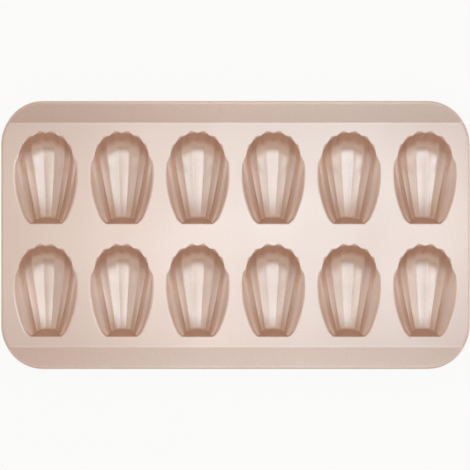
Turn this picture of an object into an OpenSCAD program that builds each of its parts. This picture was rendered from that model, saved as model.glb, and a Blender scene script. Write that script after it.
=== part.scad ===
// Shallow steel baking pan with two rows of shell moulds.
// Millimetres, Z up. The origin is on the surface that the pan stands on, under its middle.
// The fan ends of the shells point to +Y, the hinge ends to -Y.

/* [Pan] */
// Overall length along X
pan_length = 390; // [385:1:440]
// Overall width along Y
pan_width = 222; // [221:1:240]
// Radius of the four corners seen from above
corner_radius = 36; // [30:1:44]
// Thickness of the sheet
sheet = 0.7; // [0.6:0.05:0.9]
// Width of the bent grip band along each long side
grip_width = 18.2; // [16:0.2:20]
// Upward bend of the grip bands, degrees
grip_angle = 13; // [6:1:20]

/* [Curled edge] */
// Outer radius of the curl along the edge
curl_radius = 1.9; // [1.7:0.1:2.4]
// Sweep of the curl from the top of the sheet, degrees
curl_sweep = 285; // [240:5:290]
// Clearance between the curl and the wire inside it
wire_clearance = 0.05; // [0.03:0.01:0.1]

/* [Layout of the moulds] */
// Distance from the centre of the outer moulds to the end of the pan
end_margin = 37.5; // [35:0.5:40]
// Distance between the rows, hinge edge to hinge edge
row_pitch = 93.8; // [92:0.2:94]
// Shift of both rows from the middle toward the fan ends
row_shift = 1; // [-0.5:0.1:1.2]

/* [Shell mould] */
// Length from the hinge edge to the top of the fan
shell_length = 77; // [70:0.5:80]
// Distance from the hinge edge to the widest place
shell_waist = 41.5; // [38:0.5:45]
// Width at the widest place
shell_width = 51.8; // [46:0.2:54]
// Depth of the floor below the deck
shell_depth = 15; // [12:0.5:18]
// Share of the way from the middle to the outline over which the bowl is level
level_share = 0.2; // [0.1:0.02:0.3]
// Share of the depth by which the floor rises toward the hinge end
floor_rise_share = 0.3; // [0.1:0.02:0.4]
// How late the floor rises, higher keeps it level for longer
floor_rise_power = 4; // [2:0.5:5]
// Share of the width lost between the waist and the hinge edge
hinge_taper_share = 0.42; // [0.35:0.01:0.48]
// Width rounded off at each hinge corner
hinge_corner = 2.3; // [1.5:0.1:3]
// Length over which each hinge corner is rounded off
hinge_corner_length = 5.75; // [4:0.25:8]
// Height over run of the wall at the hinge end
hinge_steepness = 2.3; // [1.5:0.1:3]
// Size of the fillet between the hinge wall and the floor
foot_fillet = 0.5; // [0.2:0.1:1]
// Roundness of the fan outline, 2 is an ellipse
fan_roundness = 2.2; // [2:0.1:2.6]
// Sharpness of the side walls at the waist, higher is a flatter floor
side_power = 2.1; // [1.8:0.1:3]
// Sharpness of the side walls at the hinge end
hinge_power = 1.4; // [1.2:0.1:2.1]
// Sharpness of the wall at the fan end
fan_power = 4.4; // [3:0.1:5]
// Swell of each side wall over its width
side_swell_ratio = 0.13; // [0.05:0.01:0.2]
// Depth below the deck where the wall starts to roll over
lip_depth = 1; // [0.6:0.1:1.3]
// Height above the deck that the wall would reach where the roll ends
lip_reach = 1.6; // [1:0.1:2]

/* [Flutes] */
// Half distance between the two middle valleys at the rim
valley_1 = 5.4; // [4.5:0.1:6]
// Place of the second valley at the rim
valley_2 = 15; // [13.5:0.1:16]
// Place of the third valley at the rim
valley_3 = 21.8; // [20.5:0.1:23]
// Place of the outermost valley at the rim
valley_4 = 30; // [28:0.1:31]
// Share of their spread that the valleys keep at the hinge edge
flute_convergence = 0.34; // [0.25:0.01:0.45]
// Curve of the flutes between the hinge and the rim
flute_curve = 1.33; // [1.1:0.01:1.6]
// Bow of the third and outermost valleys away from the middle
outer_bow = 3.2; // [1:0.1:4]
// Height over width of the middle flute on the floor
middle_arch_ratio = 0.015; // [0:0.005:0.05]
// Height over width of the flutes beside it
inner_arch_ratio = 0.06; // [0.03:0.005:0.08]
// Height over width of the flutes at the foot of the side walls
outer_arch_ratio = 0.055; // [0.03:0.005:0.08]
// Height of a flute over its width at the scalloped rim
scallop_ratio = 0.32; // [0.15:0.01:0.36]
// Height of the middle flute at the rim compared with the others
middle_scallop_share = 0.8; // [0.5:0.05:1]
// Place of the ridge between the second and third valleys at the rim, half is the middle
ridge_share_3 = 0.6; // [0.5:0.01:0.65]
// Place of the ridge between the third and outermost valleys at the rim
ridge_share_4 = 0.4; // [0.35:0.01:0.5]

/* [Underside] */
// Height taken off under each mould so that it stands on a flat
foot_flat = 0.35; // [0.2:0.05:0.5]

/* [Hidden] */

mould_columns = 6;
column_pitch = (pan_length - 2 * end_margin) / (mould_columns - 1);
// Deck top above the standing surface
deck_z = shell_depth + sheet - foot_flat;
crease_y = pan_width / 2 - grip_width;
shell_half = shell_width / 2;
fan_length = shell_length - shell_waist;
rear_hinge_y = row_shift + row_pitch / 2 - shell_length / 2;
front_hinge_y = rear_hinge_y - row_pitch;
middle_ridge_share = 0.5;
// The flutes change from arches to rim lobes between these shares of the way to the outline
lobes_start_share = 0.72;
lobes_full_share = 0.98;
lobe_power = 1.4;
lip_middle = (lip_reach - lip_depth) / 2;
lip_total = lip_reach + lip_depth;
search_steps = 18;
search_margin = 6;
least_strip = 0.2;
slope_step = 0.3;

function clamp(v, low, high) = min(max(v, low), high);
function ease(t) = t * t * (3 - 2 * t);
function mix(p, q, t) = p + (q - p) * t;

// Mould surface. x is across, y is the distance from the hinge edge.

// Share of the way left to the top of the fan
function left_at(y) = 1 - y / shell_length;

// Share of the spread between the flutes that is left at y
function spread(y) =
    let (left = left_at(y))
    mix(flute_convergence, 1, 1 - sign(left) * pow(abs(left), flute_curve));

// A flute line keeps its place from the hinge to the rim, the outer ones bow outward
function bow_at(y) = outer_bow * pow(left_at(y), 2);

function line_x(place, y) =
    let (bowed = clamp((abs(place) - valley_2) / (valley_3 - valley_2), 0, 1))
    sign(place) * (abs(place) + bow_at(y) * bowed) * spread(y);

// Place of the flute line that runs through a point
function place_at(x, y) =
    let (place = abs(x) / spread(y), bow = bow_at(y))
    place > valley_3 + bow ? place - bow
    : place > valley_2 ? valley_2 + (place - valley_2) / (1 + bow / (valley_3 - valley_2))
    : place;

// Half width of the outline on the hinge side of the waist
function half_width(y) =
    let (back = (shell_waist - y) / shell_waist, near = max(0, 1 - y / hinge_corner_length))
    shell_half * (1 - hinge_taper_share * back * back) - hinge_corner * near * near;

// Distance from the middle of the bowl as a share of the distance to the outline
function reach(x, y) =
    y > shell_waist
        ? pow(pow(abs(x) / shell_half, fan_roundness)
            + pow((y - shell_waist) / fan_length, fan_roundness), 1 / fan_roundness)
        : abs(x) / half_width(y);

// Smooth bowl without its flutes
function bowl(x, y) =
    let (climb = max(reach(x, y) - level_share, 0) / (1 - level_share))
    y > shell_waist
        ? let (
            across = pow(x / shell_half, 2),
            along = pow((y - shell_waist) / fan_length, 2),
            power = mix(side_power, fan_power, along / (across + along))
          )
          shell_depth * (pow(climb, power) - 1)
        : let (
            back = (shell_waist - y) / shell_waist,
            lowest = shell_depth * (1 - floor_rise_share * pow(back, floor_rise_power))
          )
          lowest * (pow(climb, mix(side_power, hinge_power, back)) - 1);

// How far the floor arches have turned into rim lobes
function lobe_blend(x, y) =
    let (way = (reach(x, y) - lobes_start_share) / (lobes_full_share - lobes_start_share))
    ease(clamp(way, 0, 1));

// One flute between two valleys, an arch on the floor and a pointed lobe at the rim
function flute(place, y, low, high, ridge, arch, lobe, blend) =
    let (
        t = (place - low) / (high - low),
        wide = (high - low) * spread(y),
        near = t < ridge ? t / ridge : (1 - t) / (1 - ridge)
    )
    wide * ((1 - blend) * arch * 4 * t * (1 - t) + blend * lobe * pow(max(near, 0), lobe_power));

function flutes(x, y) =
    let (
        place = place_at(x, y),
        blend = lobe_blend(x, y),
        lobe = scallop_ratio,
        middle_lobe = lobe * middle_scallop_share
    )
    place < valley_1
        ? flute(place, y, -valley_1, valley_1, middle_ridge_share, middle_arch_ratio, middle_lobe, blend)
    : place < valley_2
        ? flute(place, y, valley_1, valley_2, middle_ridge_share, inner_arch_ratio, lobe, blend)
    : place < valley_3
        ? flute(place, y, valley_2, valley_3, ridge_share_3, outer_arch_ratio, lobe, blend)
    : place < valley_4
        ? flute(place, y, valley_3, valley_4, ridge_share_4, 0, lobe, blend)
    : 0;

// Each side wall swells inward between the third valley and the rim
function swell(x, y) =
    let (foot = line_x(valley_3, y), start = reach(foot, y))
    abs(x) < foot || start >= 1 ? 0
    : let (t = clamp((reach(x, y) - start) / (1 - start), 0, 1))
      (1 - lobe_blend(x, y)) * side_swell_ratio * (shell_half - foot) * 4 * t * (1 - t);

function dish(x, y) = bowl(x, y) + flutes(x, y) + swell(x, y);

// The dish and the hinge wall with a fillet between them, zero on the outline
function wall(x, y) =
    let (low = dish(x, y), hinge = -hinge_steepness * y)
    max(low, hinge) + pow(max(foot_fillet - abs(low - hinge), 0), 2) / (4 * foot_fillet);

// The wall rolls over into the level deck, slower and slower
function rounded(z) =
    z < -lip_depth ? z
    : -lip_depth * pow(max((lip_reach - z) / lip_total, 0), lip_total / lip_depth);

function inside(x, y) = rounded(wall(x, y));

// Place along a flute line where the wall reaches a level, going from low to high
function seek_y(place, level, low, high, left = search_steps) =
    let (y = (low + high) / 2)
    left == 0 ? y
    : wall(line_x(place, y), y) < level ? seek_y(place, level, y, high, left - 1)
    : seek_y(place, level, low, y, left - 1);

function seek_x(y, level, low, high, left = search_steps) =
    let (x = (low + high) / 2)
    left == 0 ? x
    : dish(x, y) < level ? seek_x(y, level, x, high, left - 1)
    : seek_x(y, level, low, x, left - 1);

// Place along a flute line where the hinge wall meets the floor
function seek_foot(place, low, high, left = search_steps) =
    let (y = (low + high) / 2)
    left == 0 ? y
    : dish(line_x(place, y), y) < -hinge_steepness * y ? seek_foot(place, y, high, left - 1)
    : seek_foot(place, low, y, left - 1);

// Mesh of the mould: flute lines run from the hinge to the rim, rows cross them

half_lines = [
    valley_1, mix(valley_1, valley_2, middle_ridge_share),
    valley_2, mix(valley_2, valley_3, ridge_share_3),
    valley_3, mix(valley_3, valley_4, ridge_share_4),
    valley_4
];
half_count = len(half_lines);
flute_lines = [
    for (i = [half_count - 1:-1:0]) -half_lines[i],
    0,
    each half_lines
];
line_count = len(flute_lines);
// Shares of the way from the foot of the hinge wall to the fan lip, closer where the wall climbs
floor_shares = [0, 0.13, 0.36, 0.66, 0.82, 0.91, 0.96];
lower_rows = 2 + len(floor_shares);
fine_count = 2 * line_count - 1;

function fine_line(i) =
    i % 2 == 0 ? flute_lines[i / 2] : (flute_lines[(i - 1) / 2] + flute_lines[(i + 1) / 2]) / 2;

function foot_y(place) = seek_foot(place, 0, shell_waist / 2);

function fan_y(place, level) = seek_y(place, level, shell_waist / 2, shell_length + search_margin);

function row_y(place, row) =
    row == 0 ? -lip_reach / hinge_steepness
    : row == 1 ? lip_depth / hinge_steepness
    : mix(foot_y(place), fan_y(place, -lip_depth), floor_shares[row - 2]);

function edge_x(y, level) = seek_x(y, level, line_x(valley_4, y), shell_half + search_margin);

function on_line(place, y) = [line_x(place, y), y];

// One row of plan points from the left rim to the right rim
function lower_row(row) =
    let (
        side_y = row_y(valley_4, row),
        last_x = line_x(valley_4, side_y),
        lip_x = max(edge_x(side_y, -lip_depth), last_x + 2 * least_strip),
        side_x = (last_x + lip_x) / 2,
        rim_x = max(edge_x(side_y, lip_reach), lip_x + least_strip)
    )
    [
        for (x = [rim_x, lip_x, side_x]) [-x, side_y],
        for (place = flute_lines) on_line(place, row_y(place, row)),
        for (x = [side_x, lip_x, rim_x]) [x, side_y]
    ];
side_count = 3;

function rim_row(level) = [for (i = [0:fine_count - 1]) on_line(fine_line(i), fan_y(fine_line(i), level))];

side_rim_y = fan_y(valley_4, -lip_depth);
side_rim_x = edge_x(side_rim_y, lip_reach);
plan = [
    for (row = [0:lower_rows - 1]) each lower_row(row),
    each rim_row(-lip_depth),
    each rim_row(lip_middle),
    each rim_row(lip_reach),
    [-side_rim_x, side_rim_y], [side_rim_x, side_rim_y]
];
row_count = line_count + 2 * side_count;
lip_start = lower_rows * row_count;
middle_start = lip_start + fine_count;
rim_start = middle_start + fine_count;
left_rim = rim_start + fine_count;
right_rim = left_rim + 1;
point_count = right_rim + 1;

// Rim points lie level with the deck, so their plate side is straight below them
function on_rim(i) =
    i < row_count || i >= rim_start
    || (i < lip_start && (i % row_count == 0 || i % row_count == row_count - 1));

function slope(x, y) = [
    (inside(x + slope_step, y) - inside(x - slope_step, y)) / (2 * slope_step),
    (inside(x, y + slope_step) - inside(x, y - slope_step)) / (2 * slope_step)
];

function top_point(i) = [plan[i][0], plan[i][1], on_rim(i) ? 0 : inside(plan[i][0], plan[i][1])];

function under_point(i) =
    on_rim(i) ? [plan[i][0], plan[i][1], -sheet]
    : let (
        p = top_point(i),
        g = slope(p[0], p[1]),
        size = sqrt(1 + g[0] * g[0] + g[1] * g[1]),
        q = p - sheet / size * [-g[0], -g[1], 1]
      )
      [q[0], q[1], max(q[2], -deck_z)];

// Two triangles for each step between two rows, mirrored about the middle
function row_strip(low, high, count) = [
    for (i = [0:count - 2])
        let (a = low + i, b = a + 1, c = high + i + 1, d = high + i)
        each i < (count - 1) / 2 ? [[a, b, d], [b, c, d]] : [[a, b, c], [a, c, d]]
];

last_row = (lower_rows - 1) * row_count;
fan_faces = [
    for (i = [0:line_count - 2])
        let (a = last_row + side_count + i, b = a + 1, f = lip_start + 2 * i)
        each [[a, f + 1, f], [a, b, f + 1], [b, f + 2, f + 1]],
    each row_strip(lip_start, middle_start, fine_count),
    each row_strip(middle_start, rim_start, fine_count)
];

// On each side the strips beyond the outermost valley close in on the start of the fan
left_side = [
    last_row, last_row + 1, last_row + 2, last_row + 3,
    lip_start, middle_start, rim_start, left_rim
];
right_side = [
    lip_start - 1, lip_start - 2, lip_start - 3, lip_start - 4,
    middle_start - 1, rim_start - 1, left_rim - 1, right_rim
];
side_corners = [[2, 3, 4], [1, 2, 4], [0, 1, 4], [0, 4, 7], [7, 4, 5], [7, 5, 6]];
side_faces = [
    for (c = side_corners)
        each [
            [for (k = c) left_side[k]],
            [for (k = [2:-1:0]) right_side[c[k]]]
        ]
];
top_faces = [
    for (row = [0:lower_rows - 2]) each row_strip(row * row_count, (row + 1) * row_count, row_count),
    each fan_faces,
    each side_faces
];

// Outline of the rim, once round
rim_loop = [
    for (i = [0:row_count - 1]) i,
    for (row = [1:lower_rows - 1]) row * row_count + row_count - 1,
    right_rim,
    for (i = [fine_count - 1:-1:0]) rim_start + i,
    left_rim,
    for (row = [lower_rows - 1:-1:1]) row * row_count
];
rim_outline = [for (i = rim_loop) plan[i]];

module shell_mould() {
    loop_count = len(rim_loop);
    polyhedron(
        points = [
            for (i = [0:point_count - 1]) top_point(i),
            for (i = [0:point_count - 1]) under_point(i)
        ],
        faces = [
            for (f = top_faces) [f[0], f[2], f[1]],
            for (f = top_faces) [f[0] + point_count, f[1] + point_count, f[2] + point_count],
            for (k = [0:loop_count - 1])
                let (a = rim_loop[k], b = rim_loop[(k + 1) % loop_count])
                each [[a, b, b + point_count], [a, b + point_count, a + point_count]]
        ]
    );
}

function column_x(column) = (column - (mould_columns + 1) / 2) * column_pitch;

module rear_mould(column) {
    translate([column_x(column), rear_hinge_y, deck_z]) shell_mould();
}

module front_mould(column) {
    translate([column_x(column), front_hinge_y, deck_z]) shell_mould();
}

// Edge of the sheet. Stations run once round the rounded rectangle, each with its outward turn.

path_radius = corner_radius - curl_radius;
corner_x = pan_length / 2 - corner_radius;
corner_y = pan_width / 2 - corner_radius;
crease_turn = asin((crease_y - corner_y) / path_radius);
quarter_turn = 90;
flat_steps = 3;
band_steps = 4;
corner_count = flat_steps + band_steps + 1;
station_count = 4 * corner_count;
corner_signs = [[1, 1], [-1, 1], [-1, -1], [1, -1]];

function corner_turn(i) =
    i <= flat_steps
        ? crease_turn * i / flat_steps
        : mix(crease_turn, quarter_turn, (i - flat_steps) / band_steps);

// The turn of a corner runs forward on two corners and backward on their mirror images
function station(i) =
    let (
        corner = floor(i / corner_count),
        step = i % corner_count,
        turn = corner_turn(corner % 2 == 0 ? step : corner_count - 1 - step),
        side = corner_signs[corner]
    )
    [side[0] * cos(turn), side[1] * sin(turn), side[0] * corner_x, side[1] * corner_y];

// Beyond its crease the sheet climbs by the grip angle
function climb(y) = max(0, abs(y) - crease_y) * tan(grip_angle);

// Point of the curl's section round its middle, angle 90 on top and 0 outermost
function curl_point(i, radius, angle) =
    let (
        s = station(i),
        out = path_radius + radius * cos(angle),
        x = s[2] + out * s[0],
        y = s[3] + out * s[1]
    )
    [x, y, deck_z - curl_radius + radius * sin(angle) + climb(y)];

curl_start = 90;
curl_end = curl_start - curl_sweep;
outer_steps = 3;
tail_steps = 5;
curl_turns = [
    for (i = [0:outer_steps]) curl_start * (1 - i / outer_steps),
    for (i = [1:tail_steps]) curl_end * i / tail_steps
];
turn_count = len(curl_turns);

// Two triangles between two rings of points, one step on in each
function strip(a, b, c, d) = [[a, b, c], [a, c, d]];

rear_band = [for (i = [flat_steps:2 * corner_count - 1 - flat_steps]) i];
front_band = [for (i = rear_band) i + 2 * corner_count];
flat_edge = [
    for (i = [0:flat_steps]) i,
    for (i = [0:2 * flat_steps + 1]) i + 2 * corner_count - 1 - flat_steps,
    for (i = [0:flat_steps]) i + 4 * corner_count - 1 - flat_steps
];

// The level middle of the sheet, with an opening for every mould
module level_sheet() {
    translate([0, 0, deck_z - sheet])
        linear_extrude(height = sheet)
            difference() {
                polygon([for (i = flat_edge) [for (k = [0, 1]) curl_point(i, 0, 0)[k]]]);
                for (column = [1:mould_columns])
                    for (hinge_y = [rear_hinge_y, front_hinge_y])
                        translate([column_x(column), hinge_y])
                            polygon(rim_outline);
            }
}

// The two grip bands and the curl, one closed ring of sheet round the level middle
module bent_edge() {
    ring = 2 * turn_count;
    last = turn_count - 1;
    edge_count = len(flat_edge);
    polyhedron(
        points = [
            for (i = [0:station_count - 1])
                each [
                    for (a = curl_turns) curl_point(i, curl_radius, a),
                    for (a = curl_turns) curl_point(i, curl_radius - sheet, a)
                ]
        ],
        faces = [
            for (band = [rear_band, front_band])
                each [
                    [for (k = [len(band) - 1:-1:0]) band[k] * ring],
                    [for (i = band) i * ring + turn_count]
                ],
            for (k = [0:edge_count - 1])
                let (a = flat_edge[k] * ring, b = flat_edge[(k + 1) % edge_count] * ring)
                each strip(a, a + turn_count, b + turn_count, b),
            for (i = [0:station_count - 1])
                let (a = i * ring, b = ((i + 1) % station_count) * ring)
                each [
                    for (k = [0:last - 1])
                        each [
                            each strip(a + k, b + k, b + k + 1, a + k + 1),
                            each strip(
                                a + turn_count + k + 1, b + turn_count + k + 1,
                                b + turn_count + k, a + turn_count + k
                            )
                        ],
                    each strip(a + last, b + last, b + turn_count + last, a + turn_count + last)
                ]
        ]
    );
}

module deck_sheet() {
    color("burlywood") {
        level_sheet();
        bent_edge();
    }
}

wire_radius = curl_radius - sheet - wire_clearance;
full_turn = 360;
wire_turns = [each curl_turns, (curl_end + curl_start - full_turn) / 2];

module rim_wire() {
    sides = len(wire_turns);
    color("silver")
        polyhedron(
            points = [
                for (i = [0:station_count - 1])
                    for (a = wire_turns) curl_point(i, wire_radius, a)
            ],
            faces = [
                for (i = [0:station_count - 1])
                    let (a = i * sides, b = ((i + 1) % station_count) * sides)
                    for (k = [0:sides - 1])
                        let (next = (k + 1) % sides)
                        each strip(a + k, b + k, b + next, a + next)
            ]
        );
}

module rear_mould_1() { color("tan") rear_mould(1); }
module rear_mould_2() { color("peru") rear_mould(2); }
module rear_mould_3() { color("tan") rear_mould(3); }
module rear_mould_4() { color("peru") rear_mould(4); }
module rear_mould_5() { color("tan") rear_mould(5); }
module rear_mould_6() { color("peru") rear_mould(6); }
module front_mould_1() { color("peru") front_mould(1); }
module front_mould_2() { color("tan") front_mould(2); }
module front_mould_3() { color("peru") front_mould(3); }
module front_mould_4() { color("tan") front_mould(4); }
module front_mould_5() { color("peru") front_mould(5); }
module front_mould_6() { color("tan") front_mould(6); }

deck_sheet();
rear_mould_1();
rear_mould_2();
rear_mould_3();
rear_mould_4();
rear_mould_5();
rear_mould_6();
front_mould_1();
front_mould_2();
front_mould_3();
front_mould_4();
front_mould_5();
front_mould_6();
rim_wire();
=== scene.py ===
import math

import bmesh
import bpy
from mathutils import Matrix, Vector


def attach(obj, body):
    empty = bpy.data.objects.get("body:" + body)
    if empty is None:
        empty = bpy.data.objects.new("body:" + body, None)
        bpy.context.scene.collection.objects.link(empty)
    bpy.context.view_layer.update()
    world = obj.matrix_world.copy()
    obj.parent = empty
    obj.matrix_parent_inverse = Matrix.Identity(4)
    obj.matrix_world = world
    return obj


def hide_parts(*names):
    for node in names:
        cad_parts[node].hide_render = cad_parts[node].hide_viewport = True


# Shell cake pan, two rows of six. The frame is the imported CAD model, in metres, +Z up.
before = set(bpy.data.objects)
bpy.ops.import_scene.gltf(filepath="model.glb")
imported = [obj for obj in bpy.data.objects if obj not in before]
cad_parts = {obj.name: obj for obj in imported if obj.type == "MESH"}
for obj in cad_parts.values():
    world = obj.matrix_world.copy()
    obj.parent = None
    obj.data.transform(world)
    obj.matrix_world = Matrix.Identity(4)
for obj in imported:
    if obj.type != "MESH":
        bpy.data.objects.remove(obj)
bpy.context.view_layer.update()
print("frame loaded:", len(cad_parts), "nodes")

mm = 0.001


def hexColour(text):
    parts = [int(text[i:i + 2], 16) / 255 for i in (1, 3, 5)]
    linear = [p / 12.92 if p <= 0.04045 else ((p + 0.055) / 1.055) ** 2.4 for p in parts]
    return (*linear, 1.0)


def addNode(tree, kind, values={}, links={}, **settings):
    made = tree.nodes.new(kind)
    for name, value in settings.items():
        setattr(made, name, value)
    for name, value in values.items():
        made.inputs[name].default_value = value
    for name, source in links.items():
        tree.links.new(source, made.inputs[name])
    return made


def emptyMaterial(name):
    made = bpy.data.materials.new(name)
    made.use_nodes = True
    made.node_tree.nodes.clear()
    return made, made.node_tree


coating = dict(
    colour="#E6CFC2",       # champagne, straight from above
    deepColour="#E1C9BA",   # where the sprayed film lies a little thicker
    roughness=0.38,
    roughnessSwing=0.03,
    coat=0.35,
    coatRoughness=0.22,
    fleckSize=0.9,          # mm, real flakes are about 0.05 and wouldn't show
    fleckSpan=(0.3, 0.7),   # part of the noise that is drawn
    fleckTint=(0.95, 1.04),
    fleckHeight=0.012,      # mm
    peelSize=2.6,           # mm between the waves of the sprayed film
    peelHeight=0.03,        # mm
    bumpStrength=0.25,
    driftSize=70.0,         # mm over which the film's thickness changes
)


def makeCoating():
    # Satin champagne non-stick coating, metal flakes in a sprayed clear film that is baked on
    # sheet steel. It gives soft wide reflections with a faint grain and tinted second bounces.
    material, tree = emptyMaterial("bakedFlakeCoating")
    place = addNode(tree, "ShaderNodeTexCoord").outputs["Object"]
    drift = addNode(tree, "ShaderNodeTexNoise",
                    {"Scale": 1 / (coating["driftSize"] * mm), "Detail": 2.0}, {"Vector": place})
    fleck = addNode(tree, "ShaderNodeTexNoise",
                    {"Scale": 1 / (coating["fleckSize"] * mm), "Detail": 3.0}, {"Vector": place})
    peel = addNode(tree, "ShaderNodeTexNoise",
                   {"Scale": 1 / (coating["peelSize"] * mm), "Detail": 1.0}, {"Vector": place})
    film = addNode(tree, "ShaderNodeMix",
                   {"A": hexColour(coating["colour"]), "B": hexColour(coating["deepColour"])},
                   {"Factor": drift.outputs["Fac"]}, data_type="RGBA")
    (spanLow, spanHigh), (darkest, lightest) = coating["fleckSpan"], coating["fleckTint"]
    grain = addNode(tree, "ShaderNodeMapRange",
                    {"From Min": spanLow, "From Max": spanHigh,
                     "To Min": darkest, "To Max": lightest},
                    {"Value": fleck.outputs["Fac"]})
    tint = addNode(tree, "ShaderNodeVectorMath", {},
                   {0: film.outputs["Result"], "Scale": grain.outputs["Result"]},
                   operation="SCALE")
    rough = addNode(tree, "ShaderNodeMapRange",
                    {"To Min": coating["roughness"] - coating["roughnessSwing"],
                     "To Max": coating["roughness"] + coating["roughnessSwing"]},
                    {"Value": drift.outputs["Fac"]})
    strength = coating["bumpStrength"]
    waves = addNode(tree, "ShaderNodeBump",
                    {"Strength": strength, "Distance": coating["peelHeight"] * mm},
                    {"Height": peel.outputs["Fac"]})
    grit = addNode(tree, "ShaderNodeBump",
                   {"Strength": strength, "Distance": coating["fleckHeight"] * mm},
                   {"Height": fleck.outputs["Fac"], "Normal": waves.outputs["Normal"]})
    skin = addNode(tree, "ShaderNodeBsdfPrincipled",
                   {"Metallic": 1.0, "Coat Weight": coating["coat"],
                    "Coat Roughness": coating["coatRoughness"]},
                   {"Base Color": tint.outputs["Vector"], "Roughness": rough.outputs["Result"],
                    "Normal": grit.outputs["Normal"]})
    addNode(tree, "ShaderNodeOutputMaterial", {}, {"Surface": skin.outputs["BSDF"]})
    return material


steelWire = dict(
    colour="#B9B9BA",
    roughness=(0.22, 0.36),
    markSize=0.5,           # mm, real marks are finer and wouldn't show
    markHeight=0.01,        # mm
    markStrength=0.2,
)


def makeSteelWire():
    # Bare mild steel wire, drawn through a die. A fine noise stands for the pulling marks and
    # gives bright but slightly uneven highlights.
    material, tree = emptyMaterial("drawnSteelWire")
    place = addNode(tree, "ShaderNodeTexCoord").outputs["Object"]
    streaks = addNode(tree, "ShaderNodeTexNoise",
                      {"Scale": 1 / (steelWire["markSize"] * mm), "Detail": 2.0},
                      {"Vector": place})
    smoothest, roughest = steelWire["roughness"]
    rough = addNode(tree, "ShaderNodeMapRange", {"To Min": smoothest, "To Max": roughest},
                    {"Value": streaks.outputs["Fac"]})
    marks = addNode(tree, "ShaderNodeBump",
                    {"Strength": steelWire["markStrength"],
                     "Distance": steelWire["markHeight"] * mm},
                    {"Height": streaks.outputs["Fac"]})
    skin = addNode(tree, "ShaderNodeBsdfPrincipled",
                   {"Base Color": hexColour(steelWire["colour"]), "Metallic": 1.0},
                   {"Roughness": rough.outputs["Result"], "Normal": marks.outputs["Normal"]})
    addNode(tree, "ShaderNodeOutputMaterial", {}, {"Surface": skin.outputs["BSDF"]})
    return material


flakeCoating = makeCoating()
drawnWire = makeSteelWire()
print("materials made")

mould = dict(                       # mm, y runs from the hinge edge to the fan end
    length=77.0, waist=41.5, width=51.8, depth=15.0,
    floorRise=0.3, risePower=4,     # the floor rises towards the hinge end
    hingeTaper=0.42, hingeCorner=2.3, hingeCornerLength=5.75, hingeSlope=2.3,
    flatShare=0.2, fanRoundness=2.2, floorRoundness=3.0,
    roundnessHold=6,                # how late the floor's roundness turns into the fan's
    hingePower=1.4, sidePower=2.1, fanPower=4.4,    # higher is a flatter floor, a steeper wall
    lip=1.0, roll=1.6, footBlend=0.5,
    shoulder=2.3, shoulderSlope=0.22, shoulderBlend=0.35,   # at the lobes of the fan
    shoulderGrowth=12,              # beyond the waist, until the shoulders are full
    shoulderEnd=5,                  # before the outermost valley, where they fade out
    valleys=(5.4, 15.0, 21.8, 30.0), outerBow=3.2,  # places of the folds at the rim
    gather=0.34, gatherCurve=1.33,  # the flutes run together towards the hinge
    floorFlutes=(0.02, 0.07, 0.11), # heights over widths, from the middle flute outward
    rimFlute=0.48, middleFlute=0.8, rimRidges=(0.5, 0.5, 0.6, 0.4),
    fluteFade=(0.72, 0.98),         # where floor flutes turn into rim flutes
    sideRise=0.08, sideLean=0.7,    # swell of the side panels
    fluteColumns=12, sideColumns=14, lipRows=10, hingeRows=8, floorRows=60,
    rowCrowding=1.25, columnCrowding=1.3,           # the mesh is closer up the walls
    fanSearch=4, sideSearch=6,      # how far past the outline its edge is looked for
    weld=0.004,
    sheet=0.7,
)
layout = dict(pitch=63.0, rearHinge=9.4, frontHinge=-84.4, deckTop=15.35, columns=6)


def mix(a, b, t):
    return a + (b - a) * t


def leftAt(y):              # share of the way left to the fan end
    return 1 - y / mould["length"]


def lineX(place, y):        # a flute line runs at a constant place, the outer ones bow outward
    left = leftAt(y)
    spread = mix(mould["gather"], 1, 1 - math.copysign(abs(left) ** mould["gatherCurve"], left))
    middle, outer = mould["valleys"][1:3]
    bow = mould["outerBow"] * left ** 2 * min(max(abs(place) - middle, 0) / (outer - middle), 1)
    return math.copysign((abs(place) + bow) * spread, place), spread


def placeAt(x, y):          # lineX the other way round
    spread = lineX(0, y)[1]
    middle, outer = mould["valleys"][1:3]
    place, bow = abs(x) / spread, mould["outerBow"] * leftAt(y) ** 2
    if place > outer + bow:
        return place - bow
    return min(place, middle) + max(place - middle, 0) / (1 + bow / (outer - middle))


def bowlAt(x, y):           # height of the smooth bowl, and the share of the way to its outline
    half, flat = mould["width"] / 2, mould["flatShare"]
    ax = abs(x)
    if y > mould["waist"]:
        across = ax / half
        along = (y - mould["waist"]) / (mould["length"] - mould["waist"])
        powers = mould["fanRoundness"], mould["floorRoundness"]
        rim, inner = ((across ** p + along ** p) ** (1 / p) for p in powers)
        out = mix(inner, rim, min(rim, 1) ** mould["roundnessHold"])
        turn = along ** 2 / (across ** 2 + along ** 2)
        climb = max(out - flat, 0) / (1 - flat)
        return mould["depth"] * (climb ** mix(mould["sidePower"], mould["fanPower"], turn) - 1), out
    back = (mould["waist"] - y) / mould["waist"]
    near = max(0, 1 - y / mould["hingeCornerLength"])
    out = ax / (half * (1 - mould["hingeTaper"] * back ** 2) - mould["hingeCorner"] * near ** 2)
    climb = max(out - flat, 0) / (1 - flat)
    lowest = mould["depth"] * (1 - mould["floorRise"] * abs(back) ** mould["risePower"])
    return lowest * (climb ** mix(mould["sidePower"], mould["hingePower"], back) - 1), out


def softMax(a, b):          # the higher of two, rounded where they cross
    reach = mould["shoulderBlend"]
    return max(a, b) + max(reach - abs(a - b), 0) ** 2 / (4 * reach)


def ribAt(place):           # which flute a place is on, how far across and how near its ridge
    edges = (-mould["valleys"][0],) + mould["valleys"]
    rib = next((i for i in range(1, len(edges)) if place < edges[i]), None)
    if rib is None:
        return None, 0, 0
    t = (place - edges[rib - 1]) / (edges[rib] - edges[rib - 1])
    ridge = mould["rimRidges"][rib - 1]
    return rib, t, max(t / ridge if t < ridge else (1 - t) / (1 - ridge), 0)


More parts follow.
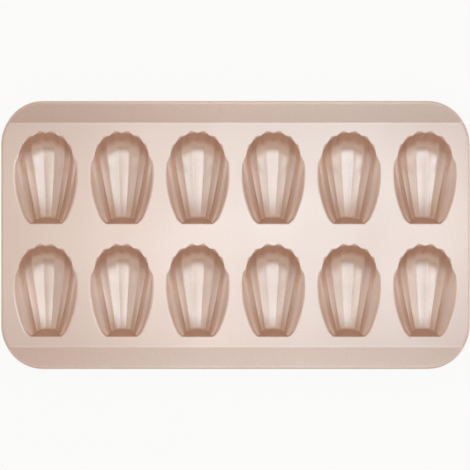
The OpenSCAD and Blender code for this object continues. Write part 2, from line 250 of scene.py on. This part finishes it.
def floorAt(x, y):          # bowl with its flutes, arched on the floor and peaked at the rim
    low, out = bowlAt(x, y)
    place, spread = placeAt(x, y), lineX(0, y)[1]
    edges = (-mould["valleys"][0],) + mould["valleys"]
    rib, t, near = ribAt(place)
    begin, end = mould["fluteFade"]
    blend = min(max((out - begin) / (end - begin), 0), 1)
    blend = blend * blend * (3 - 2 * blend)
    rise = 0
    foot = lineX(edges[-2], y)[0]
    if abs(x) > foot:
        start = bowlAt(foot, y)[1]
        side = min(max((out - start) / (1 - start), 0), 1) ** mould["sideLean"] if start < 1 else 1
        rise = (1 - blend) * mould["sideRise"] * (mould["width"] / 2 - foot) * 4 * side * (1 - side)
    if rib is None:
        return low + rise
    width = (edges[rib] - edges[rib - 1]) * spread
    if rib <= len(mould["floorFlutes"]):
        rise = (1 - blend) * mould["floorFlutes"][rib - 1] * width * 4 * t * (1 - t)
    rimRise = mould["rimFlute"] * (mould["middleFlute"] if rib == 1 else 1)
    lobed = low + rise + blend * rimRise * width * near
    if y < mould["waist"] or lobed > 0:
        return lobed
    fade = min((y - mould["waist"]) / mould["shoulderGrowth"], 1)
    fade = fade * min((edges[-1] - place) / mould["shoulderEnd"], 1)
    wall = low + blend * mould["shoulder"] * spread * fade
    return softMax(lobed, -softMax(-wall, -lobed * mould["shoulderSlope"]))


def wallAt(x, y):           # floor and hinge wall together, with a small fillet at the foot
    floor, hinge = floorAt(x, y), -mould["hingeSlope"] * y
    gap = abs(floor - hinge)
    fillet = max(mould["footBlend"] - gap, 0) ** 2 / (4 * mould["footBlend"])
    return max(floor, hinge) + fillet


def heightAt(x, y):         # the wall rolls over into the level deck, slower and slower
    z, lip = wallAt(x, y), mould["lip"]
    reach = mould["roll"] + lip
    return z if z < -lip else -lip * max((mould["roll"] - z) / reach, 0) ** (reach / lip)


seekSteps = 24              # halvings of a few centimetres, down to far less than a micron


def seek(test, low, high):  # last place between low and high where the test still holds
    for _ in range(seekSteps):
        middle = (low + high) / 2
        low, high = (middle, high) if test(middle) else (low, middle)
    return (low + high) / 2


def linePlaces():           # flute lines from the left outermost valley to the right one
    valleys = [-v for v in reversed(mould["valleys"])] + list(mould["valleys"])
    steps = mould["fluteColumns"]
    places = [mix(a, b, k / steps) for a, b in zip(valleys, valleys[1:]) for k in range(steps)]
    return places + [valleys[-1]]


def lineRows(place):        # places along one flute line, hinge rim first and fan rim last
    lip, roll = mould["lip"], mould["roll"]
    near, far = mould["waist"] / 2, mould["length"] + mould["fanSearch"]
    start, bend = -roll / mould["hingeSlope"], lip / mould["hingeSlope"]
    foot = seek(lambda y: floorAt(lineX(place, y)[0], y) < -mould["hingeSlope"] * y, 0, near)
    fan = seek(lambda y: wallAt(lineX(place, y)[0], y) < -lip, near, far)
    rim = seek(lambda y: wallAt(lineX(place, y)[0], y) < roll, near, far)
    rows = [mix(start, bend, k / mould["lipRows"]) for k in range(mould["lipRows"])]
    rows += [mix(bend, foot, k / mould["hingeRows"]) for k in range(mould["hingeRows"])]
    rows += [mix(foot, fan, 1 - (1 - k / mould["floorRows"]) ** mould["rowCrowding"])
             for k in range(mould["floorRows"])]
    return rows + [mix(fan, rim, k / mould["lipRows"]) for k in range(mould["lipRows"] + 1)]


def mouldSurface():         # upper face of one mould, its rim level with the deck
    places = linePlaces()
    sides = mould["sideColumns"]
    rowsOf = [lineRows(place) for place in places]
    rowCount = len(rowsOf[0])
    columnCount = len(places) + 2 * sides
    outer, farX = mould["valleys"][-1], mould["width"] / 2 + mould["sideSearch"]
    rimX = [seek(lambda x: floorAt(x, y) < mould["roll"], lineX(outer, y)[0], farX)
            for y in rowsOf[-1]]
    bm = bmesh.new()
    bmesh.ops.create_grid(bm, x_segments=columnCount - 1, y_segments=rowCount - 1, size=1)
    for v in bm.verts:
        column = round((v.co.x + 1) / 2 * (columnCount - 1)) - sides
        row = round((v.co.y + 1) / 2 * (rowCount - 1))
        line = min(max(column, 0), len(places) - 1)
        y = rowsOf[line][row]
        x = lineX(places[line], y)[0]
        past = max(-column, column - len(places) + 1)
        if past > 0:        # side panel between the outermost valley and the rim
            share = 1 - (1 - past / sides) ** mould["columnCrowding"]
            x = math.copysign(mix(abs(x), rimX[row], share), x)
        onRim = row in (0, rowCount - 1) or past == sides
        v.co = Vector((x, y, 0 if onRim else heightAt(x, y))) * mm
    bmesh.ops.remove_doubles(bm, verts=bm.verts, dist=mould["weld"] * mm)
    bmesh.ops.recalc_face_normals(bm, faces=bm.faces)
    if sum(f.normal.z for f in bm.faces) < 0:
        bmesh.ops.reverse_faces(bm, faces=bm.faces)
    return bm


def rimLoop(bm):            # the open edge of a surface as points in order
    start = next(e for e in bm.edges if e.is_boundary)
    loop, edge, v = [start.verts[0]], start, start.verts[1]
    while v is not loop[0]:
        loop.append(v)
        edge = next(e for e in v.link_edges if e.is_boundary and e is not edge)
        v = edge.other_vert(v)
    return [v.co.copy() for v in loop]


sharpAngle = math.radians(50)   # edges that turn by more than this stay sharp


def thicken(bm, thickness):     # adds the underside of a sheet and its edge
    bmesh.ops.solidify(bm, geom=bm.verts[:] + bm.edges[:] + bm.faces[:], thickness=thickness)
    bmesh.ops.recalc_face_normals(bm, faces=bm.faces)
    for f in bm.faces:
        f.smooth = True
    for e in bm.edges:
        e.smooth = not e.is_manifold or e.calc_face_angle(0) < sharpAngle


def addPiece(bm, name, material):
    mesh = bpy.data.meshes.new(name)
    bm.to_mesh(mesh)
    mesh.materials.append(material)
    piece = bpy.data.objects.new(name, mesh)
    bpy.context.scene.collection.objects.link(piece)
    return piece


def mouldPlaces():          # row, column and the middle of the hinge edge of every mould
    for row, hinge in (("rear", layout["rearHinge"]), ("front", layout["frontHinge"])):
        for column in range(1, layout["columns"] + 1):
            x = (column - (layout["columns"] + 1) / 2) * layout["pitch"]
            yield row, column, Vector((x, hinge, layout["deckTop"])) * mm


surface = mouldSurface()
mouldRim = rimLoop(surface)
thicken(surface, mould["sheet"] * mm)
print("mould surface:", len(surface.verts), "points,", len(mouldRim), "on the rim")

for row, column, spot in mouldPlaces():
    bm = surface.copy()
    bmesh.ops.translate(bm, verts=bm.verts, vec=spot)
    for v in bm.verts:      # a small standing flat under every mould
        v.co.z = max(v.co.z, 0.0)
    piece = addPiece(bm, f"{row}_shell_{column}", flakeCoating)
    bm.free()
    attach(piece, "root")
    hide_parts(f"{row}_mould_{column}")
surface.free()
print("moulds placed")

deck = dict(                # mm
    length=390.0, width=222.0, cornerRadius=36.0,
    gripWidth=17.98, gripAngle=13.0,
    bendHalf=0.4,           # half the width of the soft crease
    bendCuts=(-1.8, -1, -0.66, -0.33, 0, 0.33, 0.66, 1, 1.8),   # lines along it, in half widths
    curlRadius=1.9, curlSweep=285.0, curlSteps=30,
    guard=1.2,              # plain strip between the flat part's mesh and the curl
    cornerSteps=28,
    longSide=100.0, sideCuts=24,    # sides longer than this are cut into short pieces
    sheet=0.7,
)
nearZero = 1e-7             # metres
pathRadius = (deck["cornerRadius"] - deck["curlRadius"]) * mm
cornerX = (deck["length"] / 2 - deck["cornerRadius"]) * mm
cornerY = (deck["width"] / 2 - deck["cornerRadius"]) * mm
creaseY = (deck["width"] / 2 - deck["gripWidth"]) * mm


def moveOut(v, out, z):     # along the outward direction of the rounded rectangle
    heart = Vector((min(max(v.co.x, -cornerX), cornerX), min(max(v.co.y, -cornerY), cornerY), 0))
    way = Vector((v.co.x, v.co.y, 0)) - heart
    v.co = heart + way.normalized() * out
    v.co.z = z


def extrudeOut(bm, edges, out, z):  # one more ring of sheet, and its outer edges
    grown = bmesh.ops.extrude_edge_only(bm, edges=edges)["geom"]
    verts = [g for g in grown if isinstance(g, bmesh.types.BMVert)]
    for v in verts:
        moveOut(v, out, z)
    fresh = set(verts)
    return [g for g in grown if isinstance(g, bmesh.types.BMEdge) and fresh.issuperset(g.verts)]


def gripRise(y):            # the grip band rises beyond a soft crease
    past, half = abs(y) - creaseY, deck["bendHalf"] * mm
    run = 0 if past < -half else past if past > half else (past + half) ** 2 / (4 * half)
    return run * math.tan(math.radians(deck["gripAngle"]))


def deckSurface():          # upper face of the deck, its bands and the outside of the curl
    top = layout["deckTop"] * mm
    inner = pathRadius - deck["guard"] * mm
    bm = bmesh.new()
    corners = [bm.verts.new((sx * (cornerX + inner), sy * (cornerY + inner), top))
               for sx, sy in ((1, 1), (-1, 1), (-1, -1), (1, -1))]
    bm.faces.new(corners)
    bmesh.ops.bevel(bm, geom=corners, offset=inner, affect="VERTICES",
                    segments=deck["cornerSteps"], profile=0.5, material=-1)
    bmesh.ops.delete(bm, geom=bm.faces[:], context="FACES_ONLY")
    longSides = [e for e in bm.edges if e.calc_length() > deck["longSide"] * mm]
    bmesh.ops.subdivide_edges(bm, edges=longSides, cuts=deck["sideCuts"])
    border = bm.edges[:]
    for *_, spot in mouldPlaces():
        loop = [bm.verts.new(point + spot) for point in mouldRim]
        border += [bm.edges.new((a, b)) for a, b in zip(loop, loop[1:] + loop[:1])]
    outline = border[:len(border) - len(mouldRim) * 2 * layout["columns"]]
    bmesh.ops.triangle_fill(bm, edges=border, use_beauty=True, normal=(0, 0, 1))
    edge = extrudeOut(bm, outline, pathRadius, top)
    radius = deck["curlRadius"] * mm
    for step in range(1, deck["curlSteps"] + 1):
        turn = math.radians(90 - deck["curlSweep"] * step / deck["curlSteps"])
        edge = extrudeOut(bm, edge, pathRadius + radius * math.cos(turn),
                          top - radius + radius * math.sin(turn))
    half = deck["bendHalf"] * mm
    for side in (-1, 1):
        for share in deck["bendCuts"]:
            bmesh.ops.bisect_plane(bm, geom=bm.verts[:] + bm.edges[:] + bm.faces[:],
                                   plane_co=(0, side * (creaseY + share * half), 0),
                                   plane_no=(0, 1, 0), dist=nearZero)
    for v in bm.verts:
        v.co.z += gripRise(v.co.y)
    bmesh.ops.recalc_face_normals(bm, faces=bm.faces)
    widest = max(bm.faces, key=lambda f: f.calc_area())
    if widest.normal.z < 0:
        bmesh.ops.reverse_faces(bm, faces=bm.faces)
    return bm


bm = deckSurface()
thicken(bm, deck["sheet"] * mm)
print("deck:", len(bm.verts), "points")
pressedDeck = addPiece(bm, "pressed_deck", flakeCoating)
bm.free()
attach(pressedDeck, "root")
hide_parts("deck_sheet")

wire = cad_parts["rim_wire"]
for slot in wire.material_slots:
    slot.material = drawnWire

studio = dict(
    floorColour="#F8F8F8",
    floorHalf=3,            # metres
    floorDrop=0.05,         # mm under the pan
    floorGlow=0.88,         # share of plain white that is seen, the rest takes the shadow
    skyStrength=1.55,
    skyStops=[              # height from the horizon to straight above, and the light from there
        (0.00, "#F1F0EF"),
        (0.24, "#CDCCCB"),
        (0.30, "#593F35"),
        (0.38, "#8B745F"),
        (0.45, "#B8A999"),
        (0.60, "#B7A8A2"),
        (0.75, "#B6AC9F"),
        (0.88, "#816557"),
        (0.97, "#352721"),
        (1.00, "#E6E3F3"),
    ],
    lamps=[                 # name, place, size in metres, watts, colour
        ("overheadBox", (0.17, 0, 1.7), (0.85, 0.7), 2.60, "#C3EFFF"),
        ("frontSpot", (0, -0.35, 1.5), (0.2, 0.2), 0.20, "#FFBB86"),
        ("rightStrip", (0.75, 0, 1.5), (0.3, 0.9), 1.59, "#ECF8FF"),
        ("leftPanel", (-0.5, 0, 1.6), (0.5, 0.9), 1.37, "#F6FFFA"),
        ("rearPanel", (0, 0.65, 1.5), (0.9, 0.5), 0.87, "#FCF8FF"),
        ("lowRightPanel", (1.4, 0, 0.9), (1.0, 1.0), 1.42, "#C9E8FF"),
        ("lowLeftPanel", (-1.4, 0, 0.9), (1.0, 1.0), 1.05, "#ABE0FF"),
    ],
    cameraHeight=0.85,      # metres above the deck
    frameWidth=390.2,       # mm across the picture at the deck
    frameShift=-0.3,        # mm
    sensorWidth=36.0,       # mm
)


def makeFloor():
    bm = bmesh.new()
    bmesh.ops.create_grid(bm, x_segments=1, y_segments=1, size=studio["floorHalf"])
    bmesh.ops.translate(bm, verts=bm.verts, vec=(0, 0, -studio["floorDrop"] * mm))
    # Matt white studio board. To the camera and in reflections it shows close to plain white, and
    # from below it is clear, so that the underside of the pan can be looked at.
    material, tree = emptyMaterial("mattStudioBoard")
    path = addNode(tree, "ShaderNodeLightPath")
    board = addNode(tree, "ShaderNodeBsdfDiffuse", {"Color": hexColour(studio["floorColour"])})
    glow = addNode(tree, "ShaderNodeEmission", {"Color": hexColour("#FFFFFF"), "Strength": 1.0})
    seen = addNode(tree, "ShaderNodeMath", {},
                   {0: path.outputs["Is Camera Ray"], 1: path.outputs["Is Glossy Ray"]},
                   operation="MAXIMUM")
    seen = addNode(tree, "ShaderNodeMath", {},
                   {0: seen.outputs[0], 1: path.outputs["Is Transmission Ray"]},
                   operation="MAXIMUM")
    share = addNode(tree, "ShaderNodeMath", {1: studio["floorGlow"]}, {0: seen.outputs[0]},
                    operation="MULTIPLY")
    both = addNode(tree, "ShaderNodeMixShader", {},
                   {0: share.outputs[0], 1: board.outputs[0], 2: glow.outputs[0]})
    side = addNode(tree, "ShaderNodeNewGeometry").outputs["Backfacing"]
    clear = addNode(tree, "ShaderNodeBsdfTransparent")
    oneWay = addNode(tree, "ShaderNodeMixShader", {},
                     {0: side, 1: both.outputs[0], 2: clear.outputs[0]})
    addNode(tree, "ShaderNodeOutputMaterial", {}, {"Surface": oneWay.outputs[0]})
    floor = addPiece(bm, "studio_floor", material)
    bm.free()


def makeSky():
    world = bpy.data.worlds.new("studio")
    world.use_nodes = True
    tree = world.node_tree
    tree.nodes.clear()
    way = addNode(tree, "ShaderNodeTexCoord").outputs["Generated"]
    height = addNode(tree, "ShaderNodeSeparateXYZ", {}, {"Vector": way}).outputs["Z"]
    ramp = addNode(tree, "ShaderNodeValToRGB", {}, {"Fac": height})
    stops = ramp.color_ramp.elements
    while len(stops) < len(studio["skyStops"]):
        stops.new(0.5)      # moved to its place below
    for stop, (place, colour) in zip(stops, studio["skyStops"]):
        stop.position, stop.color = place, hexColour(colour)
    room = addNode(tree, "ShaderNodeBackground", {"Strength": studio["skyStrength"]},
                   {"Color": ramp.outputs["Color"]})
    addNode(tree, "ShaderNodeOutputWorld", {}, {"Surface": room.outputs[0]})
    bpy.context.scene.world = world


def addLamp(name, spot, size, watts, colour):   # aimed at the middle of the pan
    data = bpy.data.lights.new(name, "AREA")
    data.shape = "RECTANGLE"
    data.size, data.size_y = size
    data.energy = watts
    data.color = hexColour(colour)[:3]
    lamp = bpy.data.objects.new(name, data)
    lamp.location = spot
    lamp.rotation_euler = (-Vector(spot)).to_track_quat("-Z", "Y").to_euler()
    bpy.context.scene.collection.objects.link(lamp)


def addCamera():
    data = bpy.data.cameras.new("camera")
    data.sensor_width = studio["sensorWidth"]
    data.lens = studio["sensorWidth"] * studio["cameraHeight"] / (studio["frameWidth"] * mm)
    camera = bpy.data.objects.new("camera", data)
    height = layout["deckTop"] * mm + studio["cameraHeight"]
    camera.location = (studio["frameShift"] * mm, 0, height)
    bpy.context.scene.collection.objects.link(camera)
    bpy.context.scene.camera = camera


makeFloor()
makeSky()
for lamp in studio["lamps"]:
    addLamp(*lamp)
addCamera()
bpy.context.scene.view_settings.view_transform = "Standard"
print("studio ready")
